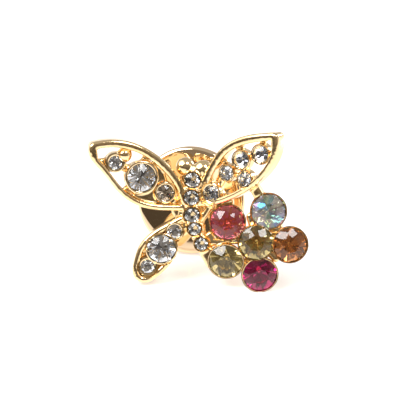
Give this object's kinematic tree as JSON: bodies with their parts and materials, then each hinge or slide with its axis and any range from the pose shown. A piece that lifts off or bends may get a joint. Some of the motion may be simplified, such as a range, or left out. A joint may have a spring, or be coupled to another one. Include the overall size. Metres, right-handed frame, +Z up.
{
  "type": "butterfly brooch",
  "caption": "Gold-tone butterfly pin with clear stones in its wings and body, a flower of coloured stones as one lower wing, and a round mirror-bright clutch on a post",
  "frame": {"origin": "middle of the bounding box's bottom face, on the surface that the brooch rests on", "axes": "+Z up, -Y towards the viewer of its face, +X to that viewer's right, across the wings"},
  "size_m": [0.0248, 0.0146, 0.0184],
  "materials": {
    "gold_casting": "polished gold plate",
    "gold_clutch": "mirror-polished gold plate",
    "clear_glass": "cut and foiled",
    "rose_glass": "cut and foiled",
    "aurora_glass": "cut, with an iridescent coat",
    "olive_glass": "cut and foiled",
    "topaz_glass": "cut and foiled",
    "ruby_glass": "cut and foiled"
  },
  "bodies": {
    "brooch": {"brooch_frame": "gold_casting", "aurora_stone": "aurora_glass", "body_stone_1": "clear_glass", "body_stone_2": "clear_glass", "body_stone_3": "clear_glass", "body_stone_4": "clear_glass", "body_stone_5": "clear_glass", "left_wing_stone_large": "clear_glass", "left_wing_stone_root": "clear_glass", "left_wing_stone_tip": "clear_glass", "olive_stone_centre": "olive_glass", "olive_stone_lower": "olive_glass", "right_wing_stone_lower": "clear_glass", "right_wing_stone_middle": "clear_glass", "right_wing_stone_root": "clear_glass", "right_wing_stone_tip": "clear_glass", "right_wing_stone_upper": "clear_glass", "rose_stone": "rose_glass", "ruby_stone": "ruby_glass", "tail_wing_stone_large": "clear_glass", "tail_wing_stone_tip": "clear_glass", "tail_wing_stone_top": "clear_glass", "topaz_stone": "topaz_glass"},
    "clutch": {"clutch_disc": "gold_clutch", "clutch_cap": "gold_clutch"}
  },
  "joints": [
    {"name": "clutch_slide", "type": "slide", "parent": "brooch", "child": "clutch", "axis": [0, 0.9612, -0.276], "range_m": [0, 0.004]}
  ]
}
